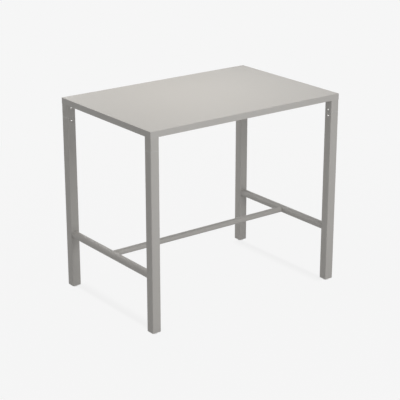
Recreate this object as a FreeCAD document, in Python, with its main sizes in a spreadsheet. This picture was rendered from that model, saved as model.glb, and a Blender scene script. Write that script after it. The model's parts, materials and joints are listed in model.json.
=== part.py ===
"""Standing meeting table: a folded steel top on a tube frame, four screwed-on legs, an H of stretchers.

Frame: origin on the floor under the middle of the top, X along the long side, Y along the short side,
Z up. The front is -Y and the left is -X. All sizes are millimetres.
"""
import FreeCAD, Part
import math
import os

import Sketcher

doc = FreeCAD.newDocument("StandingMeetingTable")
vector = FreeCAD.Vector

# ---------------------------------------------------------------------------
# Driving dimensions
# ---------------------------------------------------------------------------
SIZES = (
    # overall
    ("table_length", 1200, "top, along X"),
    ("table_depth", 800, "top, along Y"),
    ("table_height", 1050, "floor to top surface, glides screwed in"),
    # top tray: one folded and corner-welded sheet
    ("sheet_thickness", 2, "sheet of the top and its skirt"),
    ("skirt_height", 32, "top surface to lower edge of the skirt"),
    ("fold_radius", 2, "outer radius of the folds and ground corners"),
    # rails of the frame behind the skirt
    ("rail_width", 50, "frame rail, across"),
    ("rail_wall", 2, "frame rail, wall"),
    ("rail_corner", 3, "frame rail, outer corner radius"),
    # hat-section stiffeners under the sheet
    ("stiffener_spacing", 300, "between neighbouring stiffeners"),
    ("stiffener_height", 22, "sheet to lower face of the hat"),
    ("stiffener_crown", 40, "width of the lower face of the hat"),
    ("stiffener_flange", 15, "width of each welding flange"),
    ("stiffener_gauge", 1.5, "sheet of the hat"),
    # legs and the stubs they meet
    ("leg_width", 50, "square tube of leg and stub"),
    ("leg_wall", 2.5, "its wall"),
    ("leg_corner", 5, "its outer corner radius"),
    ("seam_depth", 100, "top surface down to the joint between stub and leg"),
    ("seam_chamfer", 0.6, "chamfer of both tube ends at the joint"),
    # connector tube across the joint
    ("connector_gap", 0.2, "slip fit inside the leg, each side"),
    ("connector_wall", 2.5, "wall"),
    ("connector_corner", 3.5, "outer corner radius"),
    ("connector_headroom", 6, "free space above it in the stub"),
    ("connector_drop", 60, "reach into the leg below the joint"),
    ("near_screw", 16, "joint to the screws nearest to it"),
    ("far_screw", 16, "lower edge of the frame to the highest screw"),
    # button-head screws and square weld nuts
    ("screw_size", 6, "thread"),
    ("thread_gap", 0.05, "radial clearance in every thread"),
    ("screw_hole_gap", 0.3, "radial clearance in every through hole"),
    ("screw_length", 12, "below the head"),
    ("screw_head", 10.5, "head diameter"),
    ("screw_head_height", 3.3, "head height"),
    ("screw_head_rim", 0.8, "straight rim of the head"),
    ("screw_dome", 5.5, "radius of the dome in section"),
    ("screw_crown", 5.2, "diameter of the flat on the dome"),
    ("screw_key", 4, "hexagon socket across flats"),
    ("screw_key_depth", 2, "hexagon socket depth"),
    ("nut_width", 10, "weld nut, square"),
    ("nut_thickness", 5, "weld nut"),
    # side stretchers and the cross stretcher
    ("stretcher_height", 302, "floor to the axis of every stretcher"),
    ("side_tube", 40, "side stretcher, outer diameter"),
    ("side_wall", 2, "side stretcher, wall"),
    ("cross_tube", 32, "cross stretcher, outer diameter"),
    ("cross_wall", 2, "cross stretcher, wall"),
    ("cope_gap", 0.1, "between the coped end and the side stretcher"),
    # spigots inside the ends of the cross stretcher, and their set screws
    ("spigot_gap", 0.15, "slip fit inside the cross stretcher, radial"),
    ("spigot_length", 58, "side stretcher to the free end"),
    ("spigot_chamfer", 1.5, "lead-in of the free end"),
    ("setscrew_first", 18, "side stretcher to the first set screw"),
    ("setscrew_pitch", 24, "first set screw to the second"),
    ("setscrew_size", 8, "thread"),
    ("setscrew_length", 12, "length"),
    ("setscrew_key", 4, "hexagon socket across flats"),
    ("setscrew_key_depth", 5, "hexagon socket depth"),
    # plastic plugs in the feet of the legs
    ("plug_flange", 2, "flange below the tube"),
    ("plug_margin", 0.4, "flange inside the outline of the leg"),
    ("plug_gap", 0.1, "fit inside the leg, each side"),
    ("plug_height", 20, "body inside the leg"),
    ("plug_wall", 3, "side walls, ribs"),
    ("plug_boss", 20, "boss round the threaded insert"),
    ("plug_floor", 2, "floor under the pockets and the insert"),
    ("insert_flats", 13, "hexagonal insert across flats"),
    ("insert_height", 14, "hexagonal insert"),
    # glides
    ("pad_height", 8, "glide pad"),
    ("pad_diameter", 32, "glide pad"),
    ("pad_round", 1.5, "edge radius of the pad"),
    ("pad_keyhole", 8, "hole under the stem for the hexagon key"),
    ("pad_lip", 2, "floor and lip that hold the collar"),
    ("stem_size", 8, "thread"),
    ("stem_collar", 14, "collar diameter"),
    ("stem_collar_height", 3, "collar height"),
    ("stem_neck", 10, "neck through the lip, and shoulder under the plug"),
    ("swivel_gap", 0.3, "between stem and pad"),
    ("shoulder_gap", 0.3, "between shoulder and plug, glide screwed in"),
    ("stem_reach", 12, "thread above the insert, glide screwed in"),
    ("stem_chamfer", 1, "end of the stem"),
    ("stem_key", 5, "hexagon socket across flats"),
    ("stem_key_depth", 6, "hexagon socket depth"),
)

dims = doc.addObject("Spreadsheet::Sheet", "dims")
for row, (alias, size, meaning) in enumerate(SIZES, start=1):
    dims.set("A%d" % row, meaning)
    dims.set("B%d" % row, str(size))
    dims.setAlias("B%d" % row, alias)
doc.recompute()

# ---------------------------------------------------------------------------
# Places and fits worked out from the driving dimensions, as expressions
# ---------------------------------------------------------------------------
SHEET_UNDERSIDE = "(dims.table_height - dims.sheet_thickness)"
FRAME_BASE = "(dims.table_height - dims.skirt_height)"
RAIL_HEIGHT = "(dims.skirt_height - dims.sheet_thickness)"
SEAM = "(dims.table_height - dims.seam_depth)"
LEG_BASE = "(dims.pad_height + dims.plug_flange)"
LEG_LENGTH = "(%s - %s)" % (SEAM, LEG_BASE)
STUB_LENGTH = "(dims.seam_depth - dims.skirt_height)"
LEG_BORE = "(dims.leg_width - 2 * dims.leg_wall)"
LEG_BORE_CORNER = "(dims.leg_corner - dims.leg_wall)"
LEG_X = "((dims.table_length - dims.leg_width) / 2)"
LEG_Y = "((dims.table_depth - dims.leg_width) / 2)"
CONNECTOR = "(%s - 2 * dims.connector_gap)" % LEG_BORE
CONNECTOR_BORE = "(%s - 2 * dims.connector_wall)" % CONNECTOR
CONNECTOR_RISE = "(%s - dims.connector_headroom)" % STUB_LENGTH
CROSS_BORE = "(dims.cross_tube - 2 * dims.cross_wall)"
SPIGOT = "(%s - 2 * dims.spigot_gap)" % CROSS_BORE
BETWEEN_LONG_RAILS = "(dims.table_depth - 2 * (dims.sheet_thickness + dims.rail_width))"
SCREW_HOLE = "(dims.screw_size + 2 * dims.screw_hole_gap)"
SETSCREW_HOLE = "(dims.setscrew_size + 2 * dims.screw_hole_gap)"
COLLAR_BASE = "(dims.pad_lip + dims.swivel_gap)"
COLLAR_TOP = "(%s + dims.stem_collar_height)" % COLLAR_BASE

# Name, side along X and side along Y of the four corners.
CORNERS = (
    ("front_left", -1, -1),
    ("front_right", 1, -1),
    ("back_left", -1, 1),
    ("back_right", 1, 1),
)
# Screws of one corner: the inner face they enter, and their height above the joint.
UPPER_SCREWS = (
    ("x", "dims.near_screw"),
    ("y", "(%s - dims.far_screw)" % STUB_LENGTH),
)
LOWER_SCREWS = (
    ("x", "-dims.near_screw"),
    ("y", "-dims.near_screw"),
)

ALONG_X = FreeCAD.Rotation(vector(0, 0, 1), vector(1, 0, 0))
ALONG_Y = FreeCAD.Rotation(vector(0, 0, 1), vector(0, 1, 0))
UPRIGHT = FreeCAD.Rotation()
DOWNWARD = FreeCAD.Rotation(vector(1, 0, 0), 180)

# Set screws of one end of the cross stretcher, measured from the axis of the side stretcher.
SETSCREW_PLACES = (
    "(dims.side_tube / 2 + dims.setscrew_first)",
    "(dims.side_tube / 2 + dims.setscrew_first + dims.setscrew_pitch)",
)
# Lengths closer than this are the same, in millimetres.
TOLERANCE = 1e-6

parts = []


# ---------------------------------------------------------------------------
# Helpers
# ---------------------------------------------------------------------------
def value(expression):
    """Number that an expression gives with the present sizes."""
    return float(dims.evalExpression(expression))


def new_body(label, place=("0", "0", "0"), turn=UPRIGHT, is_part=True):
    """Empty body whose origin sits at place, three expressions, turned by turn."""
    body = doc.addObject("PartDesign::Body", label)
    body.Placement.Rotation = turn
    for axis, expression in zip("xyz", place):
        body.setExpression(".Placement.Base." + axis, expression)
    if is_part:
        parts.append(body)
    return body


def new_sketch(body, plane="XY_Plane", lift="0"):
    """Sketch on one of the body's origin planes, lifted along the plane's normal."""
    sketch = body.newObject("Sketcher::SketchObject", "sketch")
    support = next(item for item in body.Origin.OriginFeatures if item.Role == plane)
    sketch.AttachmentSupport = [(support, "")]
    sketch.MapMode = "FlatFace"
    sketch.setExpression(".AttachmentOffset.Base.z", lift)
    return sketch


def bind(sketch, constraint, name, expression):
    """Add a constraint under a name and bind its size to an expression."""
    index = sketch.addConstraint(constraint)
    sketch.renameConstraint(index, name)
    sketch.setExpression("Constraints." + name, expression)


def hold_point(sketch, geometry, vertex, place):
    """Hold a vertex at place, two expressions measured from the sketch's origin."""
    for kind, axis, expression in (("DistanceX", -2, place[0]), ("DistanceY", -1, place[1])):
        distance = value(expression)
        if distance == 0:
            sketch.addConstraint(Sketcher.Constraint("PointOnObject", geometry, vertex, axis))
            continue
        name = "%s_%d_%d" % (kind, geometry, vertex)
        if distance > 0:
            constraint = Sketcher.Constraint(kind, -1, 1, geometry, vertex, distance)
            bind(sketch, constraint, name, expression)
        else:
            constraint = Sketcher.Constraint(kind, geometry, vertex, -1, 1, -distance)
            bind(sketch, constraint, name, "-(%s)" % expression)


def circle(sketch, diameter, centre=("0", "0")):
    """Circle of a bound diameter round a bound centre."""
    middle = vector(value(centre[0]), value(centre[1]), 0)
    shape = Part.Circle(middle, vector(0, 0, 1), value(diameter) / 2)
    geometry = sketch.addGeometry(shape, False)
    hold_point(sketch, geometry, 3, centre)
    bind(sketch, Sketcher.Constraint("Diameter", geometry, value(diameter)),
         "diameter_%d" % geometry, diameter)


def outline(sketch, corners, domes=None):
    """Closed outline through corners, pairs of expressions taken anticlockwise.

    domes maps the number of an edge to the radius of the convex arc that replaces it.
    """
    domes = domes or {}
    points = [vector(value(x), value(y), 0) for x, y in corners]
    edges = []
    for number, start in enumerate(points):
        end = points[(number + 1) % len(points)]
        if number not in domes:
            edges.append(sketch.addGeometry(Part.LineSegment(start, end), False))
            continue
        radius = value(domes[number])
        chord = end - start
        inward = vector(-chord.y, chord.x, 0).normalize()
        centre = (start + end) / 2 + inward * math.sqrt(radius ** 2 - chord.Length ** 2 / 4)
        angles = [math.atan2((point - centre).y, (point - centre).x) for point in (start, end)]
        arc = Part.ArcOfCircle(Part.Circle(centre, vector(0, 0, 1), radius), *angles)
        edges.append(sketch.addGeometry(arc, False))
    for number, edge in enumerate(edges):
        following = edges[(number + 1) % len(edges)]
        sketch.addConstraint(Sketcher.Constraint("Coincident", edge, 2, following, 1))
        hold_point(sketch, edge, 1, corners[number])
        if number in domes:
            bind(sketch, Sketcher.Constraint("Radius", edge, value(domes[number])),
                 "dome_%d" % number, domes[number])


def rectangle(sketch, width, depth):
    """Rectangle round the sketch's origin."""
    half_width = "%s / 2" % width
    half_depth = "%s / 2" % depth
    outline(sketch, (
        ("-" + half_width, "-" + half_depth),
        (half_width, "-" + half_depth),
        (half_width, half_depth),
        ("-" + half_width, half_depth),
    ))


def rounded_rectangle(sketch, width, depth, radius):
    """Rectangle with round corners round the sketch's origin."""
    across = value(width) / 2 - value(radius)
    along = value(depth) / 2 - value(radius)
    arcs = []
    for quarter, (side, end) in enumerate(((1, 1), (-1, 1), (-1, -1), (1, -1))):
        corner = Part.Circle(vector(side * across, end * along, 0), vector(0, 0, 1), value(radius))
        start = quarter * math.pi / 2
        arcs.append(sketch.addGeometry(Part.ArcOfCircle(corner, start, start + math.pi / 2), False))
        hold_point(sketch, arcs[-1], 3, (
            "%d * (%s / 2 - %s)" % (side, width, radius),
            "%d * (%s / 2 - %s)" % (end, depth, radius),
        ))
    for number, arc in enumerate(arcs):
        following = arcs[(number + 1) % 4]
        straight = Part.LineSegment(sketch.Geometry[arc].EndPoint, sketch.Geometry[following].StartPoint)
        line = sketch.addGeometry(straight, False)
        sketch.addConstraint(Sketcher.Constraint("Tangent", arc, 2, line, 1))
        sketch.addConstraint(Sketcher.Constraint("Tangent", line, 2, following, 1))
        if number > 0:
            sketch.addConstraint(Sketcher.Constraint("Equal", arcs[0], arc))
    bind(sketch, Sketcher.Constraint("Radius", arcs[0], value(radius)), "radius_%d" % arcs[0], radius)


def hexagon(sketch, flats):
    """Regular hexagon round the sketch's origin, its flats facing up and down."""
    half_flats = "%s / 2" % flats
    corner = "%s / sqrt(3)" % flats
    outline(sketch, (
        (corner, "0"),
        (corner + " / 2", half_flats),
        ("-%s / 2" % corner, half_flats),
        ("-" + corner, "0"),
        ("-%s / 2" % corner, "-" + half_flats),
        (corner + " / 2", "-" + half_flats),
    ))


def pad(body, sketch, length, both_ways=False):
    """Raise the sketch along its normal, or half the length each way."""
    feature = body.newObject("PartDesign::Pad", "pad")
    feature.Profile = sketch
    feature.SideType = "Symmetric" if both_ways else "One side"
    feature.setExpression("Length", length)
    doc.recompute()
    return feature


def revolve(body, sketch):
    """Turn the sketch round its vertical axis."""
    feature = body.newObject("PartDesign::Revolution", "revolution")
    feature.Profile = sketch
    feature.ReferenceAxis = (sketch, ["V_Axis"])
    feature.Angle = 360
    doc.recompute()
    return feature


def cut(body, sketch, depth=None, ahead=False, both_ways=False):
    """Cut the sketch out of the body, behind its normal, ahead of it or both ways.

    Without a depth the cut goes all the way.
    """
    before = body.Shape.Volume
    feature = body.newObject("PartDesign::Pocket", "pocket")
    feature.Profile = sketch
    feature.Reversed = ahead
    feature.SideType = "Symmetric" if both_ways else "One side"
    if depth is None:
        feature.Type = "ThroughAll"
    else:
        feature.setExpression("Length", depth)
    doc.recompute()
    if not body.Shape.Volume < before:
        raise RuntimeError("a cut in %s removed nothing" % body.Label)
    return feature


def dress(body, kind, size_name, size, chosen):
    """Fillet or chamfer the edges of the body's last feature that chosen accepts."""
    base = body.Tip
    names = ["Edge%d" % number for number, edge in enumerate(base.Shape.Edges, start=1) if chosen(edge)]
    feature = body.newObject("PartDesign::" + kind, kind.lower())
    feature.Base = (base, names)
    feature.setExpression(size_name, size)
    doc.recompute()
    return feature


def lies_at(edge, height):
    """True for an edge that lies whole at one height."""
    box = edge.BoundBox
    return abs(box.ZMin - height) < TOLERANCE and abs(box.ZMax - height) < TOLERANCE


def reach(edge):
    """Largest distance of an edge from the body's axis, measured along X or Y."""
    box = edge.BoundBox
    return max(abs(box.XMin), abs(box.XMax), abs(box.YMin), abs(box.YMax))


def at_corner(side_x, side_y, height):
    """Place on the axis of a leg at a height, as three expressions."""
    return ("%d * %s" % (side_x, LEG_X), "%d * %s" % (side_y, LEG_Y), height)


def drill_inner_face(body, face, side_x, side_y, height):
    """Screw hole at a height through the wall of a corner's tube that faces the middle along x or y."""
    if face == "x":
        sketch = new_sketch(body, "YZ_Plane")
        ahead = side_x < 0
    else:
        sketch = new_sketch(body, "XZ_Plane")
        ahead = side_y > 0
    circle(sketch, SCREW_HOLE, ("0", height))
    cut(body, sketch, ahead=ahead)


def copies(label, pattern, places):
    """One sub-part made of separate copies of a pattern, each at a place with a turn."""
    links = []
    for number, (place, turn) in enumerate(places, start=1):
        link = doc.addObject("App::Link", "%s_%d" % (label, number))
        link.LinkedObject = pattern
        link.Placement = FreeCAD.Placement(vector(), turn)
        for axis, expression in zip("xyz", place):
            link.setExpression(".Placement.Base." + axis, expression)
        links.append(link)
    group = doc.addObject("Part::Compound", label)
    group.Links = links
    doc.recompute()
    parts.append(group)


# ---------------------------------------------------------------------------
# Top and frame
# ---------------------------------------------------------------------------
def make_top_tray():
    """Flat top with a skirt folded down on all four sides and welded at the corners."""
    body = new_body("top_tray", ("0", "0", FRAME_BASE))
    block = new_sketch(body)
    rectangle(block, "dims.table_length", "dims.table_depth")
    pad(body, block, "dims.skirt_height")
    dress(body, "Fillet", "Radius", "dims.fold_radius", lambda edge: not lies_at(edge, 0))
    hollow = new_sketch(body)
    rectangle(hollow, "(dims.table_length - 2 * dims.sheet_thickness)",
              "(dims.table_depth - 2 * dims.sheet_thickness)")
    cut(body, hollow, RAIL_HEIGHT, ahead=True)


def make_rail(label, along_x, side):
    """Rectangular tube behind the skirt: long rails run through, short ones end at them."""
    height = "%s + %s / 2" % (FRAME_BASE, RAIL_HEIGHT)
    inset = "(dims.sheet_thickness + dims.rail_width / 2)"
    if along_x:
        place = ("0", "%d * (dims.table_depth / 2 - %s)" % (side, inset), height)
        body = new_body(label, place, ALONG_X)
        sizes = (RAIL_HEIGHT, "dims.rail_width")
        length = "dims.table_length - 2 * dims.sheet_thickness"
    else:
        place = ("%d * (dims.table_length / 2 - %s)" % (side, inset), "0", height)
        body = new_body(label, place, ALONG_Y)
        sizes = ("dims.rail_width", RAIL_HEIGHT)
        length = BETWEEN_LONG_RAILS
    section = new_sketch(body)
    rounded_rectangle(section, sizes[0], sizes[1], "dims.rail_corner")
    inner = ["(%s - 2 * dims.rail_wall)" % size for size in sizes]
    rounded_rectangle(section, inner[0], inner[1], "(dims.rail_corner - dims.rail_wall)")
    pad(body, section, length, both_ways=True)


def make_stiffener(label, step):
    """Hat section welded under the sheet, from the front rail to the back rail."""
    body = new_body(label, ("%d * dims.stiffener_spacing" % step, "0", SHEET_UNDERSIDE), ALONG_Y)
    crown = "dims.stiffener_crown / 2"
    brim = "(%s + dims.stiffener_flange)" % crown
    inside = "(%s - dims.stiffener_gauge)" % crown
    gauge = "dims.stiffener_gauge"
    depth = "dims.stiffener_height"
    section = new_sketch(body)
    outline(section, (
        ("-" + brim, "0"),
        ("-" + inside, "0"),
        ("-" + inside, "%s - %s" % (depth, gauge)),
        (inside, "%s - %s" % (depth, gauge)),
        (inside, "0"),
        (brim, "0"),
        (brim, gauge),
        (crown, gauge),
        (crown, depth),
        ("-" + crown, depth),
        ("-" + crown, gauge),
        ("-" + brim, gauge),
    ))
    pad(body, section, BETWEEN_LONG_RAILS, both_ways=True)


# ---------------------------------------------------------------------------
# Corners: stub, leg, connector and their screws
# ---------------------------------------------------------------------------
def make_square_tube(body, width, corner, wall, length):
    """Square tube with round corners, upright from the body's origin."""
    section = new_sketch(body)
    rounded_rectangle(section, width, width, corner)
    bore = "(%s - 2 * %s)" % (width, wall)
    rounded_rectangle(section, bore, bore, "(%s - %s)" % (corner, wall))
    pad(body, section, length)


def chamfer_seam_end(body, height):
    """Chamfer the outer edges of a leg tube where it meets its neighbour at the joint."""
    outer = value("dims.leg_width") / 2
    dress(body, "Chamfer", "Size", "dims.seam_chamfer",
          lambda edge: lies_at(edge, height) and reach(edge) > outer - TOLERANCE)


def make_stub(corner, side_x, side_y):
    """Short tube welded under the corner of the frame."""
    body = new_body("corner_stub_" + corner, at_corner(side_x, side_y, SEAM))
    make_square_tube(body, "dims.leg_width", "dims.leg_corner", "dims.leg_wall", STUB_LENGTH)
    chamfer_seam_end(body, 0)
    for face, height in UPPER_SCREWS:
        drill_inner_face(body, face, side_x, side_y, height)


def make_leg(corner, side_x, side_y):
    """Detachable leg below the joint."""
    body = new_body("leg_" + corner, at_corner(side_x, side_y, LEG_BASE))
    make_square_tube(body, "dims.leg_width", "dims.leg_corner", "dims.leg_wall", LEG_LENGTH)
    chamfer_seam_end(body, value(LEG_LENGTH))
    for face, height in LOWER_SCREWS:
        drill_inner_face(body, face, side_x, side_y, "%s + %s" % (LEG_LENGTH, height))


def make_connector(corner, side_x, side_y):
    """Inner tube that bridges the joint."""
    body = new_body("leg_connector_" + corner, at_corner(side_x, side_y, "%s - dims.connector_drop" % SEAM))
    make_square_tube(body, CONNECTOR, "dims.connector_corner", "dims.connector_wall",
                     "dims.connector_drop + %s" % CONNECTOR_RISE)
    for face, height in UPPER_SCREWS + LOWER_SCREWS:
        drill_inner_face(body, face, side_x, side_y, "dims.connector_drop + %s" % height)


def make_screw_pattern():
    """Button-head screw: thread below the origin, head above it."""
    body = new_body("button_screw", is_part=False)
    shank = "(dims.screw_size / 2 - dims.thread_gap)"
    head = "dims.screw_head / 2"
    profile = new_sketch(body, "XZ_Plane")
    outline(profile, (
        ("0", "-dims.screw_length"),
        (shank, "-dims.screw_length"),
        (shank, "0"),
        (head, "0"),
        (head, "dims.screw_head_rim"),
        ("dims.screw_crown / 2", "dims.screw_head_height"),
        ("0", "dims.screw_head_height"),
    ), domes={4: "dims.screw_dome"})
    revolve(body, profile)
    socket = new_sketch(body, lift="dims.screw_head_height")
    hexagon(socket, "dims.screw_key")
    cut(body, socket, "dims.screw_key_depth")
    return body


def make_nut_pattern():
    """Square weld nut below the origin, its seat at the origin."""
    body = new_body("weld_nut", is_part=False)
    section = new_sketch(body, lift="-dims.nut_thickness")
    rectangle(section, "dims.nut_width", "dims.nut_width")
    circle(section, "dims.screw_size")
    pad(body, section, "dims.nut_thickness")
    return body


def make_corner_fasteners(corner, side_x, side_y, screw, nut):
    """The screws of one corner and the nuts that they turn into."""
    for label, pattern, distance in (
        ("leg_screws_", screw, "dims.leg_width / 2"),
        ("weld_nuts_", nut, "%s / 2" % CONNECTOR_BORE),
    ):
        places = []
        for face, height in UPPER_SCREWS + LOWER_SCREWS:
            across, along, level = at_corner(side_x, side_y, "%s + %s" % (SEAM, height))
            if face == "x":
                inward = vector(-side_x, 0, 0)
                across += " - %d * %s" % (side_x, distance)
            else:
                inward = vector(0, -side_y, 0)
                along += " - %d * %s" % (side_y, distance)
            places.append(((across, along, level), FreeCAD.Rotation(vector(0, 0, 1), inward)))
        copies(label + corner, pattern, places)


# ---------------------------------------------------------------------------
# Stretchers
# ---------------------------------------------------------------------------
def make_side_stretcher(label, side):
    """Round tube between the front and the back leg of one end."""
    body = new_body(label, ("%d * %s" % (side, LEG_X), "0", "dims.stretcher_height"), ALONG_Y)
    section = new_sketch(body)
    circle(section, "dims.side_tube")
    circle(section, "dims.side_tube - 2 * dims.side_wall")
    pad(body, section, "dims.table_depth - 2 * dims.leg_width", both_ways=True)


def make_cross_stretcher():
    """Round tube between the side stretchers, both ends coped to their round."""
    body = new_body("cross_stretcher", ("0", "0", "dims.stretcher_height"), ALONG_X)
    section = new_sketch(body)
    circle(section, "dims.cross_tube")
    circle(section, CROSS_BORE)
    pad(body, section, "2 * %s" % LEG_X, both_ways=True)
    for end in (-1, 1):
        cope = new_sketch(body, "XZ_Plane")
        circle(cope, "dims.side_tube + 2 * dims.cope_gap", ("0", "%d * %s" % (end, LEG_X)))
        cut(body, cope, both_ways=True)
        holes = new_sketch(body, "YZ_Plane")
        for distance in SETSCREW_PLACES:
            circle(holes, SETSCREW_HOLE, ("0", "%d * (%s - %s)" % (end, LEG_X, distance)))
        cut(body, holes, ahead=True)


def make_cross_spigot(label, side):
    """Round bar welded to a side stretcher, tapped from below for the set screws."""
    inward = FreeCAD.Rotation(vector(0, 0, 1), vector(-side, 0, 0))
    body = new_body(label, ("%d * %s" % (side, LEG_X), "0", "dims.stretcher_height"), inward)
    section = new_sketch(body)
    circle(section, SPIGOT)
    length = "(dims.side_tube / 2 + dims.spigot_length)"
    pad(body, section, length)
    dress(body, "Chamfer", "Size", "dims.spigot_chamfer", lambda edge: lies_at(edge, value(length)))
    cope = new_sketch(body, "XZ_Plane")
    circle(cope, "dims.side_tube")
    cut(body, cope, both_ways=True)
    holes = new_sketch(body, "YZ_Plane")
    for distance in SETSCREW_PLACES:
        circle(holes, "dims.setscrew_size", ("0", distance))
    cut(body, holes, ahead=side < 0)


def make_set_screws():
    """Set screws that hold the cross stretcher on its spigots, flush with its lower side."""
    body = new_body("set_screw", is_part=False)
    section = new_sketch(body, lift="-dims.setscrew_length")
    circle(section, "dims.setscrew_size - 2 * dims.thread_gap")
    pad(body, section, "dims.setscrew_length")
    socket = new_sketch(body)
    hexagon(socket, "dims.setscrew_key")
    cut(body, socket, "dims.setscrew_key_depth")
    underside = "dims.stretcher_height - dims.cross_tube / 2"
    places = []
    for side in (-1, 1):
        for distance in SETSCREW_PLACES:
            place = ("%d * (%s - %s)" % (side, LEG_X, distance), "0", underside)
            places.append((place, DOWNWARD))
    copies("cross_set_screws", body, places)


# ---------------------------------------------------------------------------
# Feet: plug, threaded insert, glide pad and stem
# ---------------------------------------------------------------------------
def make_plug(corner, side_x, side_y):
    """Ribbed plastic plug in the end of the leg, with a flange that covers the tube's edge."""
    body = new_body("leg_plug_" + corner, at_corner(side_x, side_y, "dims.pad_height"))
    flange = new_sketch(body)
    flange_width = "(dims.leg_width - 2 * dims.plug_margin)"
    rounded_rectangle(flange, flange_width, flange_width, "(dims.leg_corner - dims.plug_margin)")
    pad(body, flange, "dims.plug_flange")
    core = new_sketch(body, lift="dims.plug_flange")
    core_width = "(%s - 2 * dims.plug_gap)" % LEG_BORE
    rounded_rectangle(core, core_width, core_width, "(%s - dims.plug_gap)" % LEG_BORE_CORNER)
    pad(body, core, "dims.plug_height")
    top = "(dims.plug_flange + dims.plug_height)"
    pocket_depth = "dims.plug_height - dims.plug_floor"
    inner = "(%s / 2 - dims.plug_wall)" % core_width
    rib = "dims.plug_wall / 2"
    boss = "dims.plug_boss / 2"
    pockets = new_sketch(body, lift=top)
    for turn_x, turn_y in ((1, 1), (-1, -1)):
        outline(pockets, [("%d * %s" % (turn_x, x), "%d * %s" % (turn_y, y)) for x, y in (
            (boss, rib), (inner, rib), (inner, inner), (rib, inner), (rib, boss), (boss, boss))])
    for turn_x, turn_y in ((-1, 1), (1, -1)):
        outline(pockets, [("%d * %s" % (turn_x, x), "%d * %s" % (turn_y, y)) for x, y in (
            (rib, boss), (rib, inner), (inner, inner), (inner, rib), (boss, rib), (boss, boss))])
    cut(body, pockets, pocket_depth)
    seat = new_sketch(body, lift=top)
    hexagon(seat, "dims.insert_flats")
    cut(body, seat, pocket_depth)
    passage = new_sketch(body, lift=top)
    circle(passage, "dims.stem_size + 2 * dims.screw_hole_gap")
    cut(body, passage)


def make_insert(corner, side_x, side_y):
    """Hexagonal threaded insert seated in the plug."""
    body = new_body("plug_insert_" + corner, at_corner(side_x, side_y, "%s + dims.plug_floor" % LEG_BASE))
    section = new_sketch(body)
    hexagon(section, "dims.insert_flats")
    circle(section, "dims.stem_size")
    pad(body, section, "dims.insert_height")


def make_pad(corner, side_x, side_y):
    """Glide pad that the stem's collar swivels in."""
    body = new_body("glide_pad_" + corner, at_corner(side_x, side_y, "0"))
    keyhole = "dims.pad_keyhole / 2"
    rim = "dims.pad_diameter / 2"
    throat = "(dims.stem_neck / 2 + dims.swivel_gap)"
    cavity = "(dims.stem_collar / 2 + dims.swivel_gap)"
    ceiling = "(%s + dims.swivel_gap)" % COLLAR_TOP
    profile = new_sketch(body, "XZ_Plane")
    outline(profile, (
        (keyhole, "0"),
        (rim, "0"),
        (rim, "dims.pad_height"),
        (throat, "dims.pad_height"),
        (throat, ceiling),
        (cavity, ceiling),
        (cavity, "dims.pad_lip"),
        (keyhole, "dims.pad_lip"),
    ))
    revolve(body, profile)
    outer = value(rim)
    dress(body, "Fillet", "Radius", "dims.pad_round",
          lambda edge: reach(edge) > outer - TOLERANCE and edge.BoundBox.ZLength < TOLERANCE)


def make_stem(corner, side_x, side_y):
    """Threaded stem: collar in the pad, shoulder under the plug, thread through the insert."""
    body = new_body("glide_stem_" + corner, at_corner(side_x, side_y, "0"))
    collar = "dims.stem_collar / 2"
    neck = "dims.stem_neck / 2"
    thread = "(dims.stem_size / 2 - dims.thread_gap)"
    shoulder = "(dims.pad_height - dims.shoulder_gap)"
    tip = "(%s + dims.plug_floor + dims.insert_height + dims.stem_reach)" % LEG_BASE
    profile = new_sketch(body, "XZ_Plane")
    outline(profile, (
        ("0", COLLAR_BASE),
        (collar, COLLAR_BASE),
        (collar, COLLAR_TOP),
        (neck, COLLAR_TOP),
        (neck, shoulder),
        (thread, shoulder),
        (thread, "%s - dims.stem_chamfer" % tip),
        ("%s - dims.stem_chamfer" % thread, tip),
        ("0", tip),
    ))
    revolve(body, profile)
    socket = new_sketch(body, lift=COLLAR_BASE)
    hexagon(socket, "dims.stem_key")
    cut(body, socket, "dims.stem_key_depth", ahead=True)


# ---------------------------------------------------------------------------
# Assembly
# ---------------------------------------------------------------------------
make_top_tray()
make_rail("frame_rail_front", True, -1)
make_rail("frame_rail_back", True, 1)
make_rail("frame_rail_left", False, -1)
make_rail("frame_rail_right", False, 1)
make_stiffener("stiffener_left", -1)
make_stiffener("stiffener_middle", 0)
make_stiffener("stiffener_right", 1)

screw_pattern = make_screw_pattern()
nut_pattern = make_nut_pattern()
for corner_name, corner_x, corner_y in CORNERS:
    make_stub(corner_name, corner_x, corner_y)
    make_leg(corner_name, corner_x, corner_y)
    make_connector(corner_name, corner_x, corner_y)
    make_corner_fasteners(corner_name, corner_x, corner_y, screw_pattern, nut_pattern)
    make_plug(corner_name, corner_x, corner_y)
    make_insert(corner_name, corner_x, corner_y)
    make_pad(corner_name, corner_x, corner_y)
    make_stem(corner_name, corner_x, corner_y)

make_side_stretcher("side_stretcher_left", -1)
make_side_stretcher("side_stretcher_right", 1)
make_cross_stretcher()
make_cross_spigot("cross_spigot_left", -1)
make_cross_spigot("cross_spigot_right", 1)
make_set_screws()

# ---------------------------------------------------------------------------
# Checks and files
# ---------------------------------------------------------------------------
doc.recompute()
for item in doc.Objects:
    if "Invalid" in item.State or "Error" in item.State:
        raise RuntimeError("%s did not compute: %s" % (item.Label, item.State))
for part in parts:
    if part.Shape.isNull() or not part.Shape.isValid() or not part.Shape.Solids:
        raise RuntimeError("%s has no valid solid" % part.Label)

os.makedirs("parts", exist_ok=True)
for part in parts:
    part.Shape.exportStep("parts/%s.step" % part.Label)
    print("%-28s %2d solids %10.0f mm3" % (part.Label, len(part.Shape.Solids), part.Shape.Volume))
print("%d sub-parts" % len(parts))
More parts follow.
